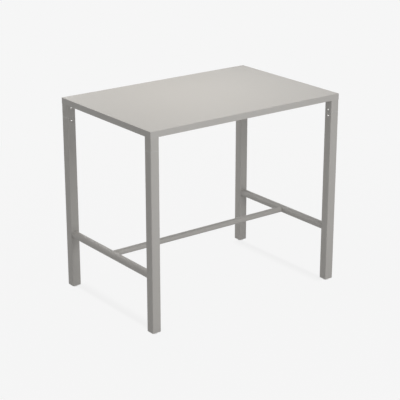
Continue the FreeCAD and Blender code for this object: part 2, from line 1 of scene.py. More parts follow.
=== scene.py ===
# %% [markdown]
# # A standing meeting table
#
# A table at bar height: one folded steel sheet on a frame of tubes, four legs screwed under its
# corners and an H of round tubes near the floor. Almost every surface is the same warm-grey powder
# coat, so the look lives on three things: the exact size of each part, a good powder coat, and the
# small bright fasteners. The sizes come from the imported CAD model. This file dresses it.
#
# Lengths are metres. X runs along the long side, Y along the short side, Z is up, the front is -Y.

# %% Load the frame
import json
import math

import bmesh
import bpy
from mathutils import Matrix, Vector


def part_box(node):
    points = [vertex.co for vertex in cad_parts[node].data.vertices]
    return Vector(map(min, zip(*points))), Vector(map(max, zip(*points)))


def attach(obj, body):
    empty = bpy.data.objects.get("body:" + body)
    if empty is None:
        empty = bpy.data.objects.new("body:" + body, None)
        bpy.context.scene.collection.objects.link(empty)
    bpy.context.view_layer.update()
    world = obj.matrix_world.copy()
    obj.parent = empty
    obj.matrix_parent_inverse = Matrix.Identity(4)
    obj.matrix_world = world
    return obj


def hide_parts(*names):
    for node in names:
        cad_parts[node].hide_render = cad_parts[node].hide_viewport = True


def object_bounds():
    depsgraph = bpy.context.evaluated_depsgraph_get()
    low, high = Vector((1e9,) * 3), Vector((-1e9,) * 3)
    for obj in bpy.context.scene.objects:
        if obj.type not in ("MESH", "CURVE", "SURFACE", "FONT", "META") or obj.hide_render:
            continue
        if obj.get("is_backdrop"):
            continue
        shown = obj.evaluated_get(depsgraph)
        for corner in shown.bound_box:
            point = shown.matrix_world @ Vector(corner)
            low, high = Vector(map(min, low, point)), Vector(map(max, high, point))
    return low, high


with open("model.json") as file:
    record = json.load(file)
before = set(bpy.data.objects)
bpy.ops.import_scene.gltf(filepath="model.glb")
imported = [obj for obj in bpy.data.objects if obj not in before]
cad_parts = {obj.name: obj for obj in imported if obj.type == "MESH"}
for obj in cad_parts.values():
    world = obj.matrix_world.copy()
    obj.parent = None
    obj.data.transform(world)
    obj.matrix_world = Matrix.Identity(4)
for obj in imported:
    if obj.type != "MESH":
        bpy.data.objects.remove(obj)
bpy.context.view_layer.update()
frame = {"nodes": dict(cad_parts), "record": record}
nodes = frame["nodes"]

# %% [markdown]
# ## Measures
#
# The table's own nodes say how big the legs are and where the joint between a corner stub and its
# leg lies, so a new size in the CAD model moves every weld and screw of this file with it. Only
# what the fasteners and welds need for themselves, such as a bead's thickness, is written here.

# %% Read the sizes that the finish needs
MM = 0.001

CORNERS = {
    "front_left": (-1, -1),
    "front_right": (1, -1),
    "back_left": (-1, 1),
    "back_right": (1, 1),
}

tray_low, tray_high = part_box("top_tray")
stub_low, stub_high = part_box("corner_stub_front_right")
tube_low, tube_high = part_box("side_stretcher_right")
leg_width = stub_high.x - stub_low.x
tube_radius = (tube_high.z - tube_low.z) / 2
frame_base = tray_low.z
print("leg %.0f mm, stretcher %.0f mm, frame base at %.0f mm"
      % (leg_width / MM, 2 * tube_radius / MM, frame_base / MM))

# %% [markdown]
# ## Camera
#
# A camera is a place, a direction and a lens. Here three numbers give the place: so many degrees to
# the side of the table, so many above the horizon, and so far away. The long lens keeps the legs
# almost parallel.

# %% Camera
CAMERA_AZIMUTH = math.radians(-36.982)
CAMERA_ELEVATION = math.radians(19.363)
CAMERA_TARGET = Vector((-0.0065, 0.0009, 0.4755))
CAMERA_DISTANCE = 6.8038
CAMERA_LENS = 114.76     # millimetres, as is the sensor
SENSOR_WIDTH = 36

scene = bpy.context.scene
toward_camera = Vector((
    math.sin(CAMERA_AZIMUTH) * math.cos(CAMERA_ELEVATION),
    -math.cos(CAMERA_AZIMUTH) * math.cos(CAMERA_ELEVATION),
    math.sin(CAMERA_ELEVATION),
))
camera = bpy.data.objects.new("camera", bpy.data.cameras.new("camera"))
camera.data.sensor_width = SENSOR_WIDTH
camera.data.lens = CAMERA_LENS
camera.location = CAMERA_TARGET + CAMERA_DISTANCE * toward_camera
camera.rotation_euler = toward_camera.to_track_quat("Z", "Y").to_euler()
scene.collection.objects.link(camera)
scene.camera = camera
scene.view_settings.view_transform = "Standard"
print("camera at", [round(place, 3) for place in camera.location])

# %% [markdown]
# ## Building node trees
#
# Materials, shader groups and Geometry Nodes are all node trees: boxes with sockets, joined by
# links. Writing them in code is easier with one helper that makes a node, sets its options and
# fills its sockets. A socket is filled with a plain value, or linked when it is given another
# node's output. Sums are the commonest nodes, so each kind of sum has a short name of its own.

# %% Helpers for node trees
FLOAT = "NodeSocketFloat"
COLOR = "NodeSocketColor"
VECTOR = "NodeSocketVector"
GEOMETRY = "NodeSocketGeometry"


def fill(tree, node, inputs):
    """Fill a node's sockets, by name or number, with values or other nodes' outputs."""
    for key, given in inputs.items():
        if isinstance(given, bpy.types.NodeSocket):
            tree.links.new(given, node.inputs[key])
        else:
            node.inputs[key].default_value = given


def add(tree, kind, inputs=None, **options):
    """New node of a kind, with its options set and its sockets filled."""
    node = tree.nodes.new(kind)
    for name, option in options.items():
        setattr(node, name, option)
    fill(tree, node, inputs or {})
    return node


def new_group(name, kind, sockets, sizes, outputs):
    """Empty node group, and its input and output nodes.

    Sockets and outputs are names with a type, and sizes are named numbers with a usual value.
    """
    group = bpy.data.node_groups.new(name, kind)
    new_socket = group.interface.new_socket
    for label, socket_type in sockets.items():
        new_socket(name=label, in_out="INPUT", socket_type=socket_type)
    for label, usual in sizes.items():
        new_socket(name=label, in_out="INPUT", socket_type=FLOAT).default_value = usual
    for label, socket_type in outputs.items():
        new_socket(name=label, in_out="OUTPUT", socket_type=socket_type)
    return group, add(group, "NodeGroupInput"), add(group, "NodeGroupOutput")


def close_group(group, result, outputs):
    """Link what a group puts out, print its size and hand it on."""
    fill(group, result, outputs)
    print("group", group.name, "has", len(group.nodes), "nodes")
    return group


# %% Sums in node trees
# Each takes numbers or outputs of other nodes, in any mix.
def math_node(tree, operation, *values, clamp=False):
    """Output of a Math node."""
    return add(tree, "ShaderNodeMath", dict(enumerate(values)), operation=operation,
               use_clamp=clamp).outputs[0]


def plus(tree, first, second):
    return math_node(tree, "ADD", first, second)


def minus(tree, first, second):
    return math_node(tree, "SUBTRACT", first, second)


def times(tree, first, second):
    return math_node(tree, "MULTIPLY", first, second)


def over(tree, first, second):
    return math_node(tree, "DIVIDE", first, second)


def half(tree, value):
    return times(tree, value, 0.5)


def square(tree, value):
    return times(tree, value, value)


def times_plus(tree, value, factor, base, clamp=False):
    return math_node(tree, "MULTIPLY_ADD", value, factor, base, clamp=clamp)


# %% [markdown]
# ## Powder coat
#
# Powder coat is dry plastic dust, sprayed on earthed steel and baked until it melts into a skin
# about a tenth of a millimetre thick. Close up it is never quite flat: a fine texture of half a
# millimetre sits on a slow orange peel of a few millimetres, and the tone drifts by a percent or
# two across a panel. One shader group makes that skin. It hands out colour, roughness and height,
# and each material chooses its own numbers. Object coordinates keep the grain the same size on
# every piece.

# %% What every surface group needs
SURFACE_INPUTS = {"Vector": VECTOR, "Color": COLOR}
SURFACE_OUTPUTS = {"Color": COLOR, "Roughness": FLOAT, "Height": FLOAT}


def add_noise(tree, place, size, detail):
    """Noise between about -0.5 and 0.5 with features of one size."""
    noise = add(tree, "ShaderNodeTexNoise",
                {"Vector": place, "Scale": over(tree, 1, size), "Detail": detail})
    return minus(tree, noise.outputs["Fac"], 0.5)


def add_scaled(tree, vector, factor):
    """Colour or offset times a number."""
    return add(tree, "ShaderNodeVectorMath",
               {0: vector, "Scale": factor}, operation="SCALE").outputs[0]


# %% Shader group: powder skin
def make_powder_skin():
    """Group with the colour, roughness and height of a baked powder skin."""
    group, given, result = new_group(
        "powder skin", "ShaderNodeTree", SURFACE_INPUTS,
        {"Grain Size": 0.5 * MM, "Peel Size": 4 * MM, "Peel Share": 0.4, "Cloud Size": 0.25,
         "Tone Drift": 0.02, "Roughness": 0.5, "Roughness Drift": 0.05},
        SURFACE_OUTPUTS)
    size = given.outputs
    grain, peel, cloud = [
        add_noise(group, size["Vector"], size[layer + " Size"], detail)
        for layer, detail in (("Grain", 2), ("Peel", 1), ("Cloud", 3))]
    drift = times_plus(group, cloud, size["Tone Drift"], 1)
    speck = times_plus(group, grain, size["Tone Drift"], drift)
    polish = plus(group, cloud, grain)
    return close_group(group, result, {
        "Color": add_scaled(group, size["Color"], speck),
        "Roughness": times_plus(group, polish, size["Roughness Drift"], size["Roughness"]),
        "Height": times_plus(group, peel, size["Peel Share"], grain)})


powder_skin = make_powder_skin()

# %% [markdown]
# ## Fine wear of bare metal and moulded plastic
#
# Screws, nuts and glides aren't painted. Bright metal shows soft clouds and thin scratches, and a
# moulded part shows the faint matt skin of its tool. Both are the same recipe with other numbers: a
# cloud for the tone, stretched noise for the marks, and a little height. So they share one group.

# %% Shader group: handled surface
def make_handled_surface():
    """Group with the colour, roughness and height of bare metal or moulded plastic."""
    group, given, result = new_group(
        "handled surface", "ShaderNodeTree", SURFACE_INPUTS,
        {"Cloud Size": 6 * MM, "Mark Size": 0.8 * MM, "Mark Stretch": 8, "Tone Drift": 0.1,
         "Roughness": 0.3, "Roughness Drift": 0.2},
        SURFACE_OUTPUTS)
    size = given.outputs
    cloud = add_noise(group, size["Vector"], size["Cloud Size"], 4)
    stretch = add(group, "ShaderNodeCombineXYZ",
                  {"X": 1, "Y": size["Mark Stretch"], "Z": size["Mark Stretch"]})
    pulled = add(group, "ShaderNodeVectorMath",
                 {0: size["Vector"], 1: stretch.outputs[0]}, operation="MULTIPLY")
    marks = add_noise(group, pulled.outputs[0], size["Mark Size"], 2)
    tone = times_plus(group, cloud, size["Tone Drift"], 1)
    worn = plus(group, cloud, marks)
    return close_group(group, result, {
        "Color": add_scaled(group, size["Color"], tone),
        "Roughness": times_plus(group, worn, size["Roughness Drift"], size["Roughness"]),
        "Height": marks})


handled_surface = make_handled_surface()

# %% [markdown]
# ## Bare edges at the joint
#
# Stub and leg are drawn together end to end. Their ends are masked before coating, so that the
# joint closes on steel and not on paint, and the narrow chamfers that stay bare show as a bright
# hairline round each leg. A mask picks them out by their height, with a slightly ragged border
# where the masking tape ended.

# %% Shader group: bare band
def make_bare_band():
    """Group with a mask that is 1 within a band of heights, where the coat is left off."""
    group, given, result = new_group(
        "bare band", "ShaderNodeTree", {"Vector": VECTOR},
        {"Height": 0.0, "Half Width": 0.6 * MM, "Raggedness": 0.2 * MM, "Rag Size": 2 * MM},
        {"Mask": FLOAT})
    size = given.outputs
    rag = add_noise(group, size["Vector"], size["Rag Size"], 2)
    level = add(group, "ShaderNodeSeparateXYZ", {0: size["Vector"]}).outputs["Z"]
    away = math_node(group, "ABSOLUTE", minus(group, level, size["Height"]))
    reach = times_plus(group, rag, size["Raggedness"], size["Half Width"])
    return close_group(group, result, {"Mask": math_node(group, "LESS_THAN", away, reach)})


bare_band = make_bare_band()

# %% [markdown]
# ## Materials
#
# A material is one Principled shader with one of the two surface groups in front of it. What is the
# same all over a surface, such as how metallic it is, is set on the shader itself. What changes
# from place to place, such as tone, roughness and height, comes from the group.

# %% Make the materials
COAT_BUMP = 0.16 * MM
METAL_BUMP = 0.01 * MM
PLASTIC_BUMP = 0.02 * MM
COAT_COLOR = (0.450, 0.436, 0.414, 1)
PAINTED_LIGHT_TOP_COLOR = (0.461, 0.447, 0.425, 1)    # a shade paler than the frame's coat: painted light on the top tray

# Each finish has a group, the depth of its bump, how metallic it is, and the group's numbers.
FINISHES = {
    # The top tray takes the paler colour above, which paints light on it.
    "top_powder_coat": (powder_skin, COAT_BUMP, 0.0, {
        "Color": PAINTED_LIGHT_TOP_COLOR, "Grain Size": 0.7 * MM, "Peel Size": 4 * MM, "Peel Share": 0.9,
        "Cloud Size": 0.3, "Tone Drift": 0.03, "Roughness": 0.50, "Roughness Drift": 0.10}),
    "powder_coat": (powder_skin, COAT_BUMP, 0.0, {
        "Color": COAT_COLOR, "Grain Size": 0.7 * MM, "Peel Size": 3.5 * MM, "Peel Share": 0.8,
        "Cloud Size": 0.12, "Tone Drift": 0.04, "Roughness": 0.55, "Roughness Drift": 0.10}),
    "zinc_steel": (handled_surface, METAL_BUMP, 1.0, {
        "Color": (0.60, 0.61, 0.62, 1), "Cloud Size": 5 * MM, "Tone Drift": 0.25,
        "Roughness": 0.36, "Roughness Drift": 0.25}),
    "stainless_steel": (handled_surface, METAL_BUMP, 1.0, {
        "Color": (0.80, 0.79, 0.77, 1), "Cloud Size": 3 * MM, "Tone Drift": 0.12,
        "Roughness": 0.28, "Roughness Drift": 0.15}),
    "stem_zinc": (handled_surface, METAL_BUMP, 1.0, {
        "Color": (0.62, 0.62, 0.61, 1), "Cloud Size": 4 * MM, "Tone Drift": 0.20,
        "Roughness": 0.34, "Roughness Drift": 0.25}),
    "brass_insert": (handled_surface, METAL_BUMP, 1.0, {
        "Color": (0.78, 0.60, 0.30, 1), "Cloud Size": 4 * MM, "Tone Drift": 0.15,
        "Roughness": 0.32, "Roughness Drift": 0.2}),
    "plug_plastic": (handled_surface, PLASTIC_BUMP, 0.0, {
        "Color": (0.92, 0.915, 0.90, 1), "Cloud Size": 9 * MM, "Mark Size": 0.4 * MM,
        "Mark Stretch": 1, "Tone Drift": 0.05, "Roughness": 0.48, "Roughness Drift": 0.12}),
    "pad_nylon": (handled_surface, PLASTIC_BUMP, 0.0, {
        "Color": (0.93, 0.927, 0.915, 1), "Cloud Size": 12 * MM, "Mark Size": 0.5 * MM,
        "Mark Stretch": 1, "Tone Drift": 0.06, "Roughness": 0.42, "Roughness Drift": 0.12}),
}


def make_material(name, group, bump_depth, metallic, numbers):
    """Material of one shader group in front of a Principled shader."""
    material = bpy.data.materials.new(name)
    material.use_nodes = True
    tree = material.node_tree
    place = add(tree, "ShaderNodeTexCoord").outputs["Object"]
    surface = add(tree, "ShaderNodeGroup", {"Vector": place, **numbers}, node_tree=group).outputs
    bump = add(tree, "ShaderNodeBump",
               {"Strength": 1.0, "Distance": bump_depth, "Height": surface["Height"]})
    fill(tree, tree.nodes["Principled BSDF"], {
        "Metallic": metallic, "Base Color": surface["Color"], "Roughness": surface["Roughness"],
        "Normal": bump.outputs["Normal"]})
    return material


materials = {name: make_material(name, *finish) for name, finish in FINISHES.items()}
print(len(materials), "materials")

# %% Leave the coat off the joint
BARE_COLOR = (0.47, 0.47, 0.46, 1)
BARE_ROUGHNESS = 0.42
BARE_HALF_WIDTH = 1.0 * MM
joint_height = stub_low.z


def add_bare_joint(material):
    """Mix bare steel into a coat where the bare band says so.

    A Mix node has sockets for every kind of value. 2 and 3 are its numbers, 6 and 7 its colours.
    """
    tree = material.node_tree
    shader = tree.nodes["Principled BSDF"]
    color, roughness = [shader.inputs[socket].links[0].from_socket
                        for socket in ("Base Color", "Roughness")]
    place = add(tree, "ShaderNodeTexCoord").outputs["Object"]
    mask = add(tree, "ShaderNodeGroup",
               {"Vector": place, "Height": joint_height, "Half Width": BARE_HALF_WIDTH},
               node_tree=bare_band).outputs["Mask"]
    mixed_color = add(tree, "ShaderNodeMix", {0: mask, 6: color, 7: BARE_COLOR}, data_type="RGBA")
    mixed_roughness = add(tree, "ShaderNodeMix",
                          {0: mask, 2: roughness, 3: BARE_ROUGHNESS}, data_type="FLOAT")
    fill(tree, shader, {
        "Base Color": mixed_color.outputs[2], "Roughness": mixed_roughness.outputs[0],
        "Metallic": mask})


add_bare_joint(materials["powder_coat"])
print("bare joint at %.0f mm" % (joint_height / MM))

# %% [markdown]
# ## Dressing the CAD nodes
#
# The record says which finish each node has. A node whose shape is right keeps its mesh and only
# gets the better material in its slot.

# %% Give every CAD node its material
for subpart in frame["record"]["subparts"]:
    slots = nodes[subpart["node"]].data.materials
    slots.clear()
    slots.append(materials[subpart["material_slot"]])
print("dressed", len(nodes), "CAD nodes")

# %% [markdown]
# ## Geometry Nodes for what repeats
#
# The table has 16 button-head screws, four threaded stems, dozens of spot welds and metres of weld
# bead. Each is a rule, not a shape: place this profile there, along that line. Geometry Nodes say
# such rules well. A carrier mesh gives the places and which way is outwards, a tree turns it into
# geometry, and the result is kept as a plain mesh that stands on its own.

# %% Helpers for Geometry Nodes
INTEGER = "NodeSocketInt"
MATERIAL = "NodeSocketMaterial"
SHARP_ANGLE = math.radians(35)


def new_tree(name, sizes):
    """Geometry Nodes tree that takes a carrier mesh, a seed, a material and named sizes."""
    return new_group(
        name, "GeometryNodeTree", {"Geometry": GEOMETRY, "Seed": INTEGER, "Material": MATERIAL},
        sizes, {"Geometry": GEOMETRY})


def close_tree(tree, given, result, geometry):
    """End a tree with real geometry that has its material."""
    real = add(tree, "GeometryNodeRealizeInstances", {"Geometry": geometry})
    painted = add(tree, "GeometryNodeSetMaterial",
                  {"Geometry": real.outputs[0], "Material": given.outputs["Material"]})
    return close_group(tree, result, {0: painted.outputs[0]})


def add_outward(tree):
    """The outward direction that the carrier's points hold."""
    return add(tree, "GeometryNodeInputNamedAttribute", {"Name": "outward"},
               data_type="FLOAT_VECTOR").outputs["Attribute"]


def make_carrier(chains):
    """Carrier object with a line through each chain of (place, outward) points."""
    points = [point for chain in chains for point in chain]
    links, start = [], 0
    for chain in chains:
        links += [(start + step, start + step + 1) for step in range(len(chain) - 1)]
        start += len(chain)
    mesh = bpy.data.meshes.new("carrier")
    mesh.from_pydata([place for place, outward in points], links, [])
    attribute = mesh.attributes.new("outward", "FLOAT_VECTOR", "POINT")
    attribute.data.foreach_set("vector", [part for place, outward in points for part in outward])
    carrier = bpy.data.objects.new("carrier", mesh)
    scene.collection.objects.link(carrier)
    return carrier


def grow(name, tree, chains, slot, body="root", **sizes):
    """Run a tree on chains of points, and make its result a piece that rides on a body."""
    carrier = make_carrier(chains)
    modifier = carrier.modifiers.new("nodes", "NODES")
    modifier.node_group = tree
    sizes["Material"] = materials[slot]
    for socket in tree.interface.items_tree:
        if socket.in_out == "INPUT" and socket.name in sizes:
            modifier[socket.identifier] = sizes[socket.name]
    graph = bpy.context.evaluated_depsgraph_get()
    mesh = bpy.data.meshes.new_from_object(carrier.evaluated_get(graph), depsgraph=graph)
    bpy.data.objects.remove(carrier)
    mesh.set_sharp_from_angle(angle=SHARP_ANGLE)
    piece = bpy.data.objects.new(name, mesh)
    scene.collection.objects.link(piece)
    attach(piece, body)
    print("%s: %d points, %d faces" % (name, len(mesh.vertices), len(mesh.polygons)))
    return piece


# %% [markdown]
# ## Turned parts
#
# Screws, stems and electrode marks are all turned: one profile spun round an axis. A grid does this
# neatly. Its columns go round and its rows go along the profile, and every row takes its radius and
# height from a short table. A row can also be a hexagon, so a key socket costs no boolean.

# %% Turning a profile
HEXAGON_SIDE = math.radians(60)
MERGE_DISTANCE = 0.001 * MM


def add_turned(tree, rows, sides):
    """Closed turned part on the Z axis.

    A row is its radius, its height, and 1 where it is a hexagon. Rows start and end on the axis
    and keep the solid on their left, so that faces point outwards.
    """
    last = len(rows) - 1
    grid = add(tree, "GeometryNodeMeshGrid",
               {"Size X": 1.0, "Size Y": 1.0, "Vertices X": sides + 1, "Vertices Y": len(rows)})
    position = add(tree, "GeometryNodeInputPosition").outputs[0]
    flat = add(tree, "ShaderNodeSeparateXYZ", {0: position})
    turn = times_plus(tree, flat.outputs["X"], 2 * math.pi, math.pi)
    row = add(tree, "FunctionNodeFloatToInt",
              {0: times_plus(tree, flat.outputs["Y"], last, last / 2)},
              rounding_mode="ROUND").outputs[0]
    columns = []
    for column in range(3):
        table = add(tree, "GeometryNodeIndexSwitch", data_type="FLOAT")
        while len(table.index_switch_items) < len(rows):
            table.index_switch_items.new()
        entries = {number: given[column] for number, given in enumerate(rows, start=1)}
        fill(tree, table, {"Index": row, **entries})
        columns.append(table.outputs[0])
    radius, height, is_hexagon = columns
    shifted = plus(tree, turn, HEXAGON_SIDE / 2)
    on_side = math_node(tree, "FLOORED_MODULO", shifted, HEXAGON_SIDE)
    from_flat = minus(tree, on_side, HEXAGON_SIDE / 2)
    stretch = minus(tree, over(tree, 1, math_node(tree, "COSINE", from_flat)), 1)
    reach = times(tree, radius, times_plus(tree, stretch, is_hexagon, 1))
    place = add(tree, "ShaderNodeCombineXYZ", {
        "X": times(tree, reach, math_node(tree, "COSINE", turn)),
        "Y": times(tree, reach, math_node(tree, "SINE", turn)),
        "Z": height})
    spun = add(tree, "GeometryNodeSetPosition",
               {"Geometry": grid.outputs["Mesh"], "Position": place.outputs[0]})
    return add(tree, "GeometryNodeMergeByDistance",
               {"Geometry": spun.outputs[0], "Distance": MERGE_DISTANCE}).outputs[0]


def add_on_points(tree, given, points, instance):
    """Instance on each point with its Z axis outwards, turned about it at random."""
    outward = add_outward(tree)
    aligned = add(tree, "FunctionNodeAlignRotationToVector", {"Vector": outward}, axis="Z")
    chance = add(tree, "FunctionNodeRandomValue",
                 {2: 0.0, 3: 2 * math.pi, "Seed": given.outputs["Seed"]}, data_type="FLOAT")
    spin = add(tree, "FunctionNodeAxisAngleToRotation",
               {"Axis": (0, 0, 1), "Angle": chance.outputs[1]})
    turned = add(tree, "FunctionNodeRotateRotation",
                 {"Rotation": aligned.outputs[0], "Rotate By": spin.outputs[0]},
                 rotation_space="LOCAL")
    return add(tree, "GeometryNodeInstanceOnPoints",
               {"Points": points, "Instance": instance, "Rotation": turned.outputs[0]}).outputs[0]


# %% [markdown]
# ## Screw threads
#
# A thread is a ridge that climbs round a core. The ridge is a four-cornered profile swept along a
# spiral, right-handed like nearly every thread, and it fades out over its first and last half turn,
# as a rolled thread does. The group serves the M6 screws and the M8 stems.

# %% Group: thread ridge
THREAD_DEPTH = 0.6       # of the pitch
RIDGE_FOOT = 0.44        # half width at the core, of the pitch
RIDGE_TIP = 0.07         # half width at the crest, of the pitch
RIDGE_ROOT = 0.05 * MM   # the ridge starts this deep in the core
RIDGE_CORNERS = ((0, RIDGE_FOOT), (0, -RIDGE_FOOT), (1, -RIDGE_TIP), (1, RIDGE_TIP))
RIDGE_END = 0.1          # size of the ridge at its very ends
RIDGE_GROWTH = 2.0       # how much of its size it gains in each turn from there
THREAD_STEPS = 24        # points in each turn
THREAD_LEAD = 0.8 * MM   # chamfer at the tip of a screw or stem


def make_thread_ridge():
    """Group that puts out the ridge of a thread on the Z axis."""
    group, given, result = new_group(
        "thread ridge", "GeometryNodeTree", {},
        {"Width": 8 * MM, "Pitch": 1.25 * MM, "Start": 0.0, "Length": 10 * MM},
        {"Mesh": GEOMETRY})
    pitch, length = given.outputs["Pitch"], given.outputs["Length"]
    depth = times(group, pitch, THREAD_DEPTH)
    radius = minus(group, half(group, given.outputs["Width"]), depth)
    turns = over(group, length, pitch)
    spiral = add(group, "GeometryNodeCurveSpiral", {
        "Resolution": THREAD_STEPS, "Rotations": turns, "Start Radius": radius,
        "End Radius": radius, "Height": length, "Reverse": True})
    lift = add(group, "ShaderNodeCombineXYZ", {"Z": given.outputs["Start"]})
    lifted = add(group, "GeometryNodeSetPosition",
                 {"Geometry": spiral.outputs[0], "Offset": lift.outputs[0]})
    upright = add(group, "GeometryNodeSetCurveNormal", {"Curve": lifted.outputs[0]}, mode="Z_UP")
    along = add(group, "GeometryNodeSplineParameter").outputs["Factor"]
    to_end = math_node(group, "MINIMUM", along, minus(group, 1, along))
    fade = times_plus(group, times(group, to_end, turns), RIDGE_GROWTH, RIDGE_END, clamp=True)
    corners = {}
    for number, (side, width) in enumerate(RIDGE_CORNERS, start=1):
        corner = add(group, "ShaderNodeCombineXYZ", {
            "X": minus(group, times(group, depth, side), RIDGE_ROOT),
            "Y": times(group, pitch, width)})
        corners["Point %d" % number] = corner.outputs[0]
    profile = add(group, "GeometryNodeCurvePrimitiveQuadrilateral", corners, mode="POINTS")
    swept = add(group, "GeometryNodeCurveToMesh", {
        "Curve": upright.outputs[0], "Profile Curve": profile.outputs[0], "Scale": fade,
        "Fill Caps": True})
    return close_group(group, result, {0: swept.outputs[0]})


thread_ridge = make_thread_ridge()


# %% Helpers for threaded parts
def core_radius(tree, size):
    """Radius of the core that a thread climbs round."""
    return minus(tree, half(tree, size["Thread Width"]), times(tree, size["Pitch"], THREAD_DEPTH))


def close_threaded_tree(tree, given, result, rows, sides, start, length):
    """End a tree with a turned part and its thread, put on every point."""
    size = given.outputs
    turned = add_turned(tree, rows, sides)
    ridge = add(tree, "GeometryNodeGroup", {
        "Width": size["Thread Width"], "Pitch": size["Pitch"], "Start": start, "Length": length},
        node_tree=thread_ridge)
    joined = add(tree, "GeometryNodeJoinGeometry")
    for part in (ridge.outputs[0], turned):
        fill(tree, joined, {0: part})
    placed = add_on_points(tree, given, size["Geometry"], joined.outputs[0])
    return close_tree(tree, given, result, placed)


# %% [markdown]
# ## Button-head screws
#
# Each corner is held by four stainless M6 screws with low domed heads, two above the joint and two
# below it, on the two faces that look inwards. The dome is part of a sphere with a flat crown, and
# the key socket has a slight lead-in and a drilled bottom. Each screw stops at its own angle.

# %% Tree: button-head screws
SCREW_SIDES = 24
DOME_ROWS = 5
SOCKET_BEVEL = 0.15 * MM
SOCKET_DRILL = 0.5 * MM


def add_dome(tree, rim, rim_height, crown, crown_height):
    """Rows of a dome: a sphere through the rim and the edge of the crown, centred on the axis."""
    rise = minus(tree, crown_height, rim_height)
    squares = minus(tree, square(tree, rim), square(tree, crown))
    centre = minus(tree, half(tree, plus(tree, crown_height, rim_height)),
                   over(tree, half(tree, squares), rise))
    sphere = plus(tree, square(tree, rim), square(tree, minus(tree, rim_height, centre)))
    rows = []
    for number in range(DOME_ROWS):
        share = number / (DOME_ROWS - 1)
        radius = plus(tree, times(tree, rim, 1 - share), times(tree, crown, share))
        above = math_node(tree, "SQRT", minus(tree, sphere, square(tree, radius)))
        rows.append((radius, plus(tree, centre, above), 0))
    return rows


def make_screw_tree():
    """Tree that puts a button-head screw on every point."""
    tree, given, result = new_tree("button-head screws", {
        "Thread Width": 5.9 * MM, "Thread Length": 12 * MM, "Pitch": 1 * MM,
        "Head Width": 10.5 * MM, "Head Height": 3.3 * MM, "Rim Height": 0.5 * MM,
        "Crown Width": 5.2 * MM, "Key Width": 4 * MM, "Key Depth": 2 * MM})
    size = given.outputs
    head, crown, key = [half(tree, size[name + " Width"]) for name in ("Head", "Crown", "Key")]
    core = core_radius(tree, size)
    tip = times(tree, size["Thread Length"], -1)
    start = plus(tree, tip, THREAD_LEAD)
    top = size["Head Height"]
    bottom = minus(tree, top, size["Key Depth"])
    rows = [
        (0, tip, 0),
        (minus(tree, core, THREAD_LEAD), tip, 0),
        (core, start, 0),
        (core, 0, 0),
        (head, 0, 0),
        *add_dome(tree, head, size["Rim Height"], crown, top),
        (plus(tree, key, SOCKET_BEVEL), top, 1),
        (key, minus(tree, top, SOCKET_BEVEL), 1),
        (key, bottom, 1),
        (0, minus(tree, bottom, SOCKET_DRILL), 0),
    ]
    length = minus(tree, size["Thread Length"], 2 * THREAD_LEAD)
    return close_threaded_tree(tree, given, result, rows, SCREW_SIDES, start, length)


screw_tree = make_screw_tree()

# %% Put the screws in
SCREW_HEIGHTS_X = (16 * MM, -16 * MM)    # from the joint, on the face that looks along X
SCREW_HEIGHTS_Y = (52 * MM, -16 * MM)    # on the face that looks along Y
SCREW_SEED = 11

for seed, (corner, (side_x, side_y)) in enumerate(CORNERS.items(), start=SCREW_SEED):
    low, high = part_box("corner_stub_" + corner)
    middle = (low + high) / 2
    face_x = middle.x - side_x * leg_width / 2
    face_y = middle.y - side_y * leg_width / 2
    points = [((face_x, middle.y, joint_height + height), (-side_x, 0, 0))
              for height in SCREW_HEIGHTS_X]
    points += [((middle.x, face_y, joint_height + height), (0, -side_y, 0))
               for height in SCREW_HEIGHTS_Y]
    screws = grow("button_screws_" + corner, screw_tree, [[point] for point in points],
                  "stainless_steel", Seed=seed)
    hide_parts("leg_screws_" + corner)

# %% [markdown]
# ## Threaded stems of the glides
#
# Under each leg a zinc-plated stem turns in the pad. It has a collar that the pad clips over, a
# shoulder, an M8 thread that climbs through the insert into the leg, and a hexagon socket from
# below. Turning it lifts or lowers the corner by 1.25 mm a turn. Each stem is a body of its own, so
# each one gets its own mesh.

# %% Tree: glide stems
STEM_SIDES = 36
STEM_BEVEL = 0.3 * MM
STEM_DRILL = 0.9 * MM


def make_stem_tree():
    """Tree that puts a threaded stem on every point. The point is on the floor."""
    tree, given, result = new_tree("glide stems", {
        "Thread Width": 7.9 * MM, "Pitch": 1.25 * MM, "Tip": 38 * MM, "Collar Width": 14 * MM,
        "Collar Base": 2.3 * MM, "Collar Top": 5.3 * MM, "Neck Width": 10 * MM,
        "Shoulder": 7.7 * MM, "Key Width": 5 * MM, "Key Depth": 6 * MM})
    size = given.outputs
    base, top, shoulder = size["Collar Base"], size["Collar Top"], size["Shoulder"]
    collar, neck, key = [half(tree, size[name + " Width"]) for name in ("Collar", "Neck", "Key")]
    core = core_radius(tree, size)
    ceiling = plus(tree, base, size["Key Depth"])
    collar_flat = minus(tree, collar, STEM_BEVEL)
    base_edge = plus(tree, base, STEM_BEVEL)
    end = minus(tree, size["Tip"], THREAD_LEAD)
    rows = [
        (0, plus(tree, ceiling, STEM_DRILL), 0),
        (key, ceiling, 1),
        (key, base_edge, 1),
        (plus(tree, key, STEM_BEVEL), base, 1),
        (collar_flat, base, 0),
        (collar, base_edge, 0),
        (collar, minus(tree, top, STEM_BEVEL), 0),
        (collar_flat, top, 0),
        (neck, top, 0),
        (neck, minus(tree, shoulder, STEM_BEVEL), 0),
        (minus(tree, neck, STEM_BEVEL), shoulder, 0),
        (core, shoulder, 0),
        (core, end, 0),
        (minus(tree, core, THREAD_LEAD), size["Tip"], 0),
        (0, size["Tip"], 0),
    ]
    start = plus(tree, shoulder, THREAD_LEAD)
    length = minus(tree, end, start)
    return close_threaded_tree(tree, given, result, rows, STEM_SIDES, start, length)


stem_tree = make_stem_tree()

# %% Put the stems in
STEM_SEED = 31
UP = (0, 0, 1)

